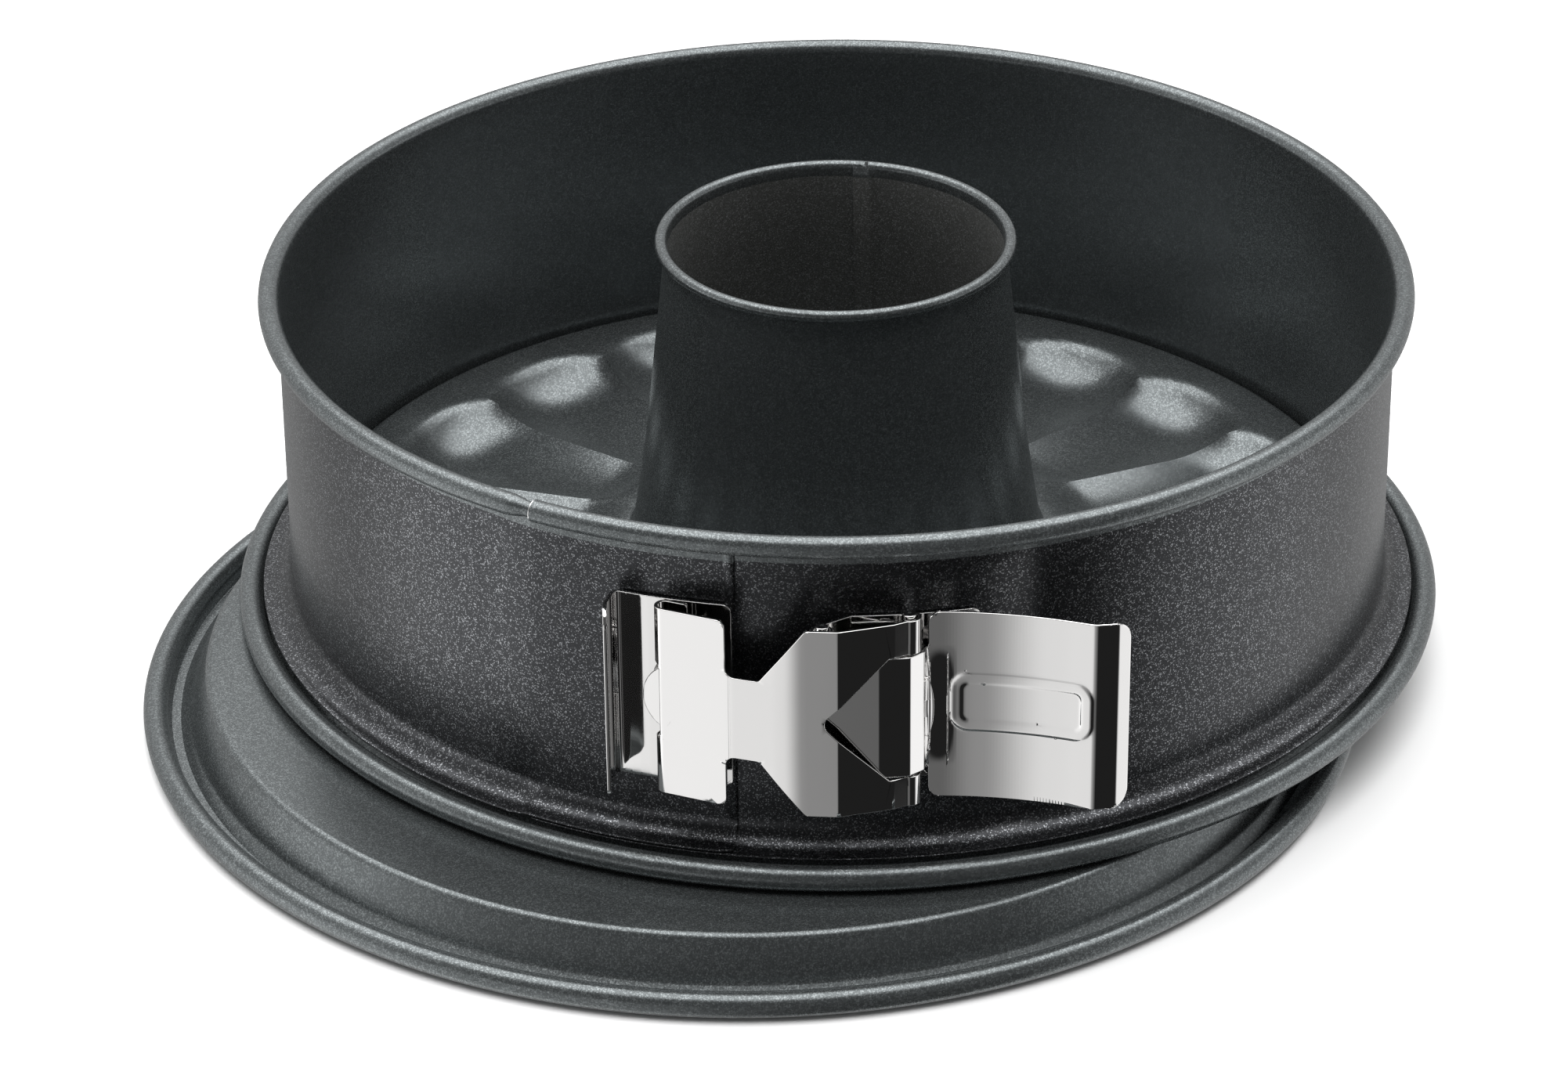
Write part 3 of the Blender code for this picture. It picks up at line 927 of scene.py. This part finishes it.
@dataclass
class Clasp:
    """The toggle clasp: catch plate, hinge plate, lever, link and two pins."""

    shop: Workshop
    steel: bpy.types.Material
    plate_sheet: float = 0.9
    lever_sheet: float = 0.7
    link_sheet: float = 0.8
    low: float = 20.4
    high: float = 66.5
    knuckle_low: float = 28.2
    knuckle_high: float = 57.8
    hinge_pin: Point = (-4.8, -138.2)
    link_pin: Point = (14.1, -137.0)
    pin_radius: float = 1.4
    knuckle: float = 2.15
    tab_radius: float = 8.5
    tab_half: float = 9.3  # half the height of the hook's opening round the tab
    edge: float = 0.16
    hill: float = 1.3  # how far the neck's stiffening bulge stands out of the handle
    hook_bend: float = 1.9
    hook_start: Point = (-39.3, -132.7)
    hook_turn: float = -22.6  # direction in plan from the hook towards the neck
    hook_leg: float = 4.6  # how far the hook's tip runs back past its bend
    catch_radius: float = 132.65
    hinge_radius: float = 131.75
    hinge_roll: float = 290.0  # degrees of the hinge plate's roll

    @property
    def middle(self) -> float:
        """Height of the clasp's middle."""
        return 0.5 * (self.low + self.high)

    def _hang(
        self, name: str, mesh: bpy.types.Mesh, body: Body, node: str, sheet: float
    ) -> None:
        """Makes one bright sheet-metal piece of the clasp.

        Args:
            name: The piece's name.
            mesh: Its open middle surface.
            body: The body it rides on.
            node: The frame's node it stands for.
            sheet: Its thickness.
        """
        self.shop.piece(
            name, mesh, [self.steel], body, Slot.BRIGHT_STEEL, [node], thickness=sheet, edge=self.edge
        )

    def _hook(self) -> tuple[Vector, Vector, Vector]:
        """Centre of the hook's bend, its direction towards the neck, and the way inwards."""
        turn = math.radians(self.hook_turn)
        along = Vector((math.cos(turn), math.sin(turn)))
        inward = Vector((-along.y, along.x))
        return Vector(self.hook_start) + inward * self.hook_bend, along, inward

    def build_catch(self) -> None:
        """Builds the catch plate with its finger lip and round tab."""
        field_line = [on_ring(self.catch_radius, -10.5 - 10.1 * i / 10) for i in range(11)]
        lip = eased(
            [(*field_line[-1], 0), (-49.8, -123.0, 1.6), (-51.6, -129.0, 3.0), (-51.4, -134.4, 0)],
            closed=False,
            steps=8,
        )
        path = field_line + lip[1:]
        total = span_of(path)
        outline = eased(
            [
                (0.0, self.low, 2.0),
                (total, self.low, 1.6),
                (total, self.high - 0.5, 4.0),
                (0.0, self.high - 0.5, 2.0),
            ],
            closed=True,
        )
        mesh = bent_sheet(outline, path)
        self._hang("finger_lip_plate", mesh, Body.RING, "catch_plate", self.plate_sheet)

        centre, along, _ = self._hook()
        tip = centre - along * 5.4
        bend = centre + along * 8.2
        path = eased(
            [(*tip, 0), (*bend, 2.4), (-26.9, -131.8, 1.6), (-25.6, -129.9, 0)],
            closed=False,
            steps=8,
        )
        total = span_of(path)
        middle = (self.tab_radius, self.middle)
        outline = arc(middle, self.tab_radius, 90, 270, 28)
        outline += [(total, self.middle - self.tab_radius), (total, self.middle + self.tab_radius)]
        mesh = bent_sheet(outline, path)
        self._hang("round_catch_tab", mesh, Body.RING, "catch_plate", self.plate_sheet)

    def build_hinge_plate(self) -> None:
        """Builds the plate that is rolled round the hinge pin at its top and bottom."""
        plate = [on_ring(self.hinge_radius, 13.0 - 12.4 * i / 10) for i in range(11)]
        apex = Vector(plate[-1])
        centre = Vector(self.hinge_pin)
        away = apex - centre
        first = math.degrees(math.atan2(away.y, away.x) + math.acos(self.knuckle / away.length))
        path = plate + arc(self.hinge_pin, self.knuckle, first, first + self.hinge_roll, 26)
        total = span_of(path)
        split = total - math.radians(self.hinge_roll) * self.knuckle - 1.5
        low, high = self.low + 2.4, self.high - 2.7
        inner_low, inner_high = self.knuckle_low - 0.5, self.knuckle_high + 0.5
        outline = eased(
            [
                (0.0, low, 2.0),
                (total, low, 0),
                (total, inner_low, 0),
                (split, inner_low, 0.6),
                (split, inner_high, 0.6),
                (total, inner_high, 0),
                (total, high, 0),
                (0.0, high, 2.0),
            ],
            closed=True,
        )
        mesh = bent_sheet(outline, path)
        self._hang("rolled_hinge_plate", mesh, Body.RING, "hinge_plate", self.lever_sheet)

    def badge(self, along: float, height: float) -> float:
        """Height of the blank double border pressed into the handle.

        Args:
            along: Distance along the handle from the badge's centre.
            height: Height above the badge's centre.

        Returns:
            How far the sheet stands out.
        """
        corner = 4.0
        dx = abs(along) - (15.5 - corner)
        dz = abs(height) - (7.0 - corner)
        inside = min(max(dx, dz), 0.0)
        distance = math.hypot(max(dx, 0.0), max(dz, 0.0)) + inside - corner
        outer = 0.32 / (1 + math.exp(distance / 0.16))
        inner = -0.24 / (1 + math.exp((distance + 2.3) / 0.14))
        return outer + inner

    def build_lever(self) -> None:
        """Builds the lever: roll, leg and crest over the link pin, neck and curved handle."""
        roll = arc(self.hinge_pin, self.knuckle, 20, 270, 24)
        handle = eased(
            [
                (7.5, -140.5, 0),
                (13.9, -139.6, 1.4),
                (17.0, -137.2, 0.8),
                (17.5, -135.0, 1.0),
                (35.5, -135.4, 95.0),
                (53.8, -141.6, 3.2),
                (58.4, -141.0, 2.4),
                (61.3, -139.1, 0),
            ],
            closed=False,
            steps=14,
        )
        path = roll + handle
        start = len(roll)
        neck = length_at(path, 18.2, start)
        total = span_of(path)
        outline = eased(
            [
                (0.0, self.knuckle_low, 0),
                (neck, self.knuckle_low, 0.5),
                (neck, self.low, 2.5),
                (total, self.low, 4.2),
                (total, self.high, 4.2),
                (neck, self.high, 2.5),
                (neck, self.knuckle_high, 0.5),
                (0.0, self.knuckle_high, 0),
            ],
            closed=True,
            steps=8,
        )
        centre = length_at(path, 38.4, start)
        valley = length_at(path, 17.1, start)
        brow = length_at(path, 17.5, start)

        def relief(u: float, z: float) -> float:
            """Height pressed into the handle: the bulge at its neck, and the badge.

            Args:
                u: Length along the sheet.
                z: Height.

            Returns:
                How far the sheet stands out.
            """
            rise = min(1.0, max(0.0, (u - valley) / (brow - valley)))
            fall = min(1.0, max(0.0, 1 - (u - brow) / 7.0))
            tall = max(0.0, 1 - ((z - self.middle) / 14.9) ** 2)
            share = min(rise, fall)
            hill = self.hill * share * share * (3 - 2 * share) * tall
            return hill + self.badge(u - centre, z - self.middle - 0.95)

        fine = (neck - 1.5, centre + 16.5, self.middle - 15.3, self.middle + 15.3, 0.33)
        mesh = bent_sheet(outline, path, relief, fine)
        self._hang("curved_lever", mesh, Body.LEVER, "lever", self.lever_sheet)

    def build_link(self) -> None:
        """Builds the link: hook, neck, notched plate and two knuckles."""
        centre, along, inward = self._hook()
        first = math.degrees(math.atan2(inward.y, inward.x))
        hook = arc(tuple(centre), self.hook_bend, first, first + 180, 16)
        leg = [tuple(centre + inward * self.hook_bend + along * self.hook_leg)]
        roll = arc(self.link_pin, self.knuckle, -105, 165, 24)
        plate = eased(
            [
                (*hook[-1], 0),
                (-24.6, -138.9, 20.0),
                (-12.0, -142.9, 30.0),
                (-1.4, -143.7, 1.6),
                (10.4, -140.6, 3.0),
                (*roll[0], 0),
            ],
            closed=False,
            steps=10,
        )
        path = leg + hook + plate[1:-1] + roll
        start = len(leg) + len(hook) - 1
        total = span_of(path)
        slot_end = self.hook_leg + 5.3
        at = {x: length_at(path, x, start) for x in (-25.6, -18.5, -8.5, -5.4, 9.6)}
        neck_low, neck_high = self.middle - 10.6, self.middle + 9.4
        arm_low, arm_high = self.knuckle_low - 0.5, self.knuckle_high + 0.5
        outline = eased(
            [
                (0.0, self.low, 0.8),
                (at[-25.6], self.low, 2.0),
                (at[-25.6], neck_low, 2.0),
                (at[-18.5], neck_low, 1.5),
                (at[-8.5], self.low, 1.5),
                (total, self.low, 0),
                (total, arm_low, 0),
                (at[9.6], arm_low, 0.4),
                (at[-5.4], self.middle, 2.5),
                (at[9.6], arm_high, 0.4),
                (total, arm_high, 0),
                (total, self.high, 0),
                (at[-8.5], self.high, 1.5),
                (at[-18.5], neck_high, 1.5),
                (at[-25.6], neck_high, 2.0),
                (at[-25.6], self.high, 2.0),
                (0.0, self.high, 0.8),
                (0.0, self.middle + self.tab_half, 0.8),
                (slot_end, self.middle + self.tab_half, 1.2),
                (slot_end, self.middle - self.tab_half, 1.2),
                (0.0, self.middle - self.tab_half, 0.8),
            ],
            closed=True,
            steps=7,
        )
        mesh = bent_sheet(outline, path)
        self._hang("notched_link", mesh, Body.LINK, "link_plate", self.link_sheet)

    def build_pin(self, name: str, body: Body, low: float, high: float) -> None:
        """Builds a pin with rounded, dimpled ends.

        Args:
            name: The node it stands for.
            body: The body it rides on.
            low: Height of its lower end.
            high: Height of its upper end.
        """
        r = self.pin_radius
        end = [(0.0, 0.25), (0.35, 0.22), (0.6, 0.08), (0.8, 0.0), (r - 0.3, 0.05)]
        end += arc((r - 0.3, 0.35), 0.3, -60, 0, 4)
        line = [(x, low + z) for x, z in end] + [(x, high - z) for x, z in reversed(end)]
        mesh = turned(line, 40, loop=False)
        place = self.hinge_pin if body is Body.RING else self.link_pin
        mesh.transform(Matrix.Translation((*place, 0)))
        self.shop.piece(f"dimpled_{name}", mesh, [self.steel], body, Slot.BRIGHT_STEEL, [name])

    def build(self) -> None:
        """Builds every piece of the clasp."""
        self.build_catch()
        self.build_hinge_plate()
        self.build_lever()
        self.build_link()
        self.build_pin("hinge_pin", Body.RING, self.low + 1.6, self.high - 1.5)
        self.build_pin("link_pin", Body.LEVER, self.low - 0.8, self.high + 0.7)


# ---------------------------------------------------------------- studio


@dataclass
class Studio:
    """A pale floor, soft light and the camera."""

    focal: float = 124.68
    camera_place: tuple[float, float, float] = (-0.00228, -1.13438, 0.65202)
    pitch: float = 28.71
    roll: float = 0.53
    brightest: float = 4.0  # what a band's full ramp stands for
    top_light: float = 4.0
    top_lean: float = 14.0  # how far the overhead light leans to the back
    low_edge: tuple[float, float] = (0.0, 0.30)
    top_edge: tuple[float, float] = (0.67, 0.91)
    # Azimuth and brightness: below and near the horizon, then above it.
    low_band: tuple[tuple[float, float], ...] = (
        (-180, 0.35),
        (-125, 0.6),
        (-88, 2.0),
        (-52, 1.05),
        (-28, 0.85),
        (-10, 0.30),
        (0, 0.13),
        (9, 0.015),
        (52, 0.015),
        (75, 1.1),
        (100, 1.4),
        (130, 0.7),
        (180, 0.35),
    )
    middle_band: tuple[tuple[float, float], ...] = (
        (-180, 0.6),
        (-140, 0.9),
        (-85, 0.9),
        (-45, 0.14),
        (0, 0.08),
        (50, 0.10),
        (90, 0.7),
        (150, 0.7),
        (180, 0.6),
    )

    def build(self) -> None:
        """Sets the stage up."""
        self._floor()
        self._lights()
        self._camera()
        bpy.context.scene.view_settings.view_transform = "Standard"

    def _floor(self) -> None:
        """Lays a pale sweep under the pan."""
        mesh = bpy.data.meshes.new("floor")
        bm = bmesh.new()
        bmesh.ops.create_grid(bm, x_segments=40, y_segments=40, size=4.0)
        for vert in bm.verts:
            vert.co.z = -0.0002 + 0.35 * max(0.0, vert.co.y - 2.0) ** 2
        bm.to_mesh(mesh)
        bm.free()
        mesh.shade_smooth()
        floor = bpy.data.objects.new("floor", mesh)
        bpy.context.scene.collection.objects.link(floor)
        paper, _, shader = new_material("matt_paper_sweep")
        shader.inputs["Base Color"].default_value = linear("f6f6f6")
        shader.inputs["Roughness"].default_value = 0.9
        shader.inputs["Specular IOR Level"].default_value = 0.1
        mesh.materials.append(paper)
        floor.visible_glossy = False  # the pan mirrors the studio's dark and light cards instead

    def _lights(self) -> None:
        """Hangs the soft lights."""
        world = bpy.data.worlds.new("studio")
        bpy.context.scene.world = world
        world.use_nodes = True
        tree = world.node_tree
        tree.nodes["Background"].inputs["Color"].default_value = linear("ffffff")
        way = add_node(tree, "ShaderNodeTexCoord").outputs["Generated"]
        axes = add_node(tree, "ShaderNodeSeparateXYZ", {"Vector": way})
        front = add_node(
            tree, "ShaderNodeMath", {0: axes.outputs["Y"], 1: -1.0}, operation="MULTIPLY"
        )
        azimuth = add_node(
            tree,
            "ShaderNodeMath",
            {0: axes.outputs["X"], 1: front.outputs[0]},
            operation="ARCTAN2",
        )
        place = add_node(
            tree,
            "ShaderNodeMapRange",
            {"Value": azimuth.outputs[0], "From Min": -math.pi, "From Max": math.pi},
        )
        low = self._band(tree, place.outputs["Result"], self.low_band)
        middle = self._band(tree, place.outputs["Result"], self.middle_band)
        lower = self._between(tree, axes.outputs["Z"], self.low_edge, low, middle)
        back = math.radians(self.top_lean)
        lean = add_node(
            tree,
            "ShaderNodeVectorMath",
            {0: way, 1: (0.0, math.sin(back), math.cos(back))},
            operation="DOT_PRODUCT",
        )
        whole = self._between(tree, lean.outputs["Value"], self.top_edge, lower, self.top_light)
        tree.links.new(whole, tree.nodes["Background"].inputs["Strength"])

    def _band(
        self,
        tree: bpy.types.NodeTree,
        place: bpy.types.NodeSocket,
        stops: Sequence[tuple[float, float]],
    ) -> bpy.types.NodeSocket:
        """A ring of light round the pan.

        Args:
            tree: The world's node tree.
            place: Azimuth, from 0 to 1 over the whole turn.
            stops: Azimuth in degrees and brightness of each stop.

        Returns:
            The brightness.
        """
        ramp = add_node(tree, "ShaderNodeValToRGB", {"Fac": place})
        ramp.color_ramp.interpolation = "EASE"
        elements = ramp.color_ramp.elements
        while len(elements) < len(stops):
            elements.new(0.5)
        for element, (degrees, light) in zip(elements, stops):
            element.position = (degrees + 180) / 360
            element.color = (light / self.brightest,) * 3 + (1.0,)
        scaled = add_node(
            tree, "ShaderNodeMath", {0: ramp.outputs["Color"], 1: self.brightest}, operation="MULTIPLY"
        )
        return scaled.outputs[0]

    def _between(
        self,
        tree: bpy.types.NodeTree,
        height: bpy.types.NodeSocket,
        edge: tuple[float, float],
        below: bpy.types.NodeSocket,
        above: bpy.types.NodeSocket | float,
    ) -> bpy.types.NodeSocket:
        """Blends two brightnesses over an edge in height.

        Args:
            tree: The world's node tree.
            height: Height of the direction, -1 to 1.
            edge: Where the blend starts and ends.
            below: Brightness under the edge.
            above: Brightness over it.

        Returns:
            The blended brightness.
        """
        share = add_node(
            tree,
            "ShaderNodeMapRange",
            {"Value": height, "From Min": edge[0], "From Max": edge[1]},
            interpolation_type="SMOOTHSTEP",
        )
        mixed = add_node(
            tree, "ShaderNodeMix", {"Factor": share.outputs["Result"], "A": below, "B": above}
        )
        return mixed.outputs["Result"]

    def _camera(self) -> None:
        """Places the camera."""
        data = bpy.data.cameras.new("camera")
        data.lens = self.focal
        data.sensor_width = 36.0
        data.clip_start = 0.05
        camera = bpy.data.objects.new("camera", data)
        look = Matrix.Rotation(math.radians(90 - self.pitch), 4, "X")
        tilt = Matrix.Rotation(math.radians(-self.roll), 4, "Z")
        camera.matrix_world = Matrix.Translation(self.camera_place) @ look @ tilt
        bpy.context.scene.collection.objects.link(camera)
        bpy.context.scene.camera = camera


def axis_of(node: str) -> Vector:
    """The foot of a turned part's axis, from its node in the frame."""
    low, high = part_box(node)
    return Vector(((low.x + high.x) / 2, (low.y + high.y) / 2, low.z))


def main() -> None:
    """Builds the pan, its spare base and the studio."""
    logging.basicConfig(level=logging.INFO, format="%(name)s %(message)s")
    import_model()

    lining = FlakedCoating(
        "release_coating_lining",
        resin="565a5b",
        flake="808586",
        roughness=0.27,
        metallic=0.68,
        flake_tilt=0.045,
        flake_share=0.5,
    ).make()
    outside = FlakedCoating(
        "release_coating_outside",
        resin="363739",
        flake="8f9194",
        roughness=0.29,
        metallic=0.85,
        flake_tilt=0.055,
        flake_share=0.22,
    ).make()
    # The bore's coating is a copy of the lining with its tone retuned: painted shading in the bore,
    # not a different coat.
    bore_painted_shading = FlakedCoating(
        "release_coating_bore_painted_shading",
        resin="6a6b69",
        flake="a6a8a8",
        roughness=0.30,
        metallic=0.35,
        flake_tilt=0.055,
        flake_share=0.3,
    ).make()
    steel = NickelPlate().make()

    spare = Workshop(axis_of("flat_base"))
    pan = Workshop(axis_of("tube_base"))
    FlatBase().build(spare, lining)
    FlutedBase().build(pan, lining)
    CentreTube().build(pan, bore_painted_shading, lining)
    SprungRing().build(pan, lining, outside, steel)
    Clasp(pan, steel).build()
    Studio().build()


if __name__ == "__main__":
    main()
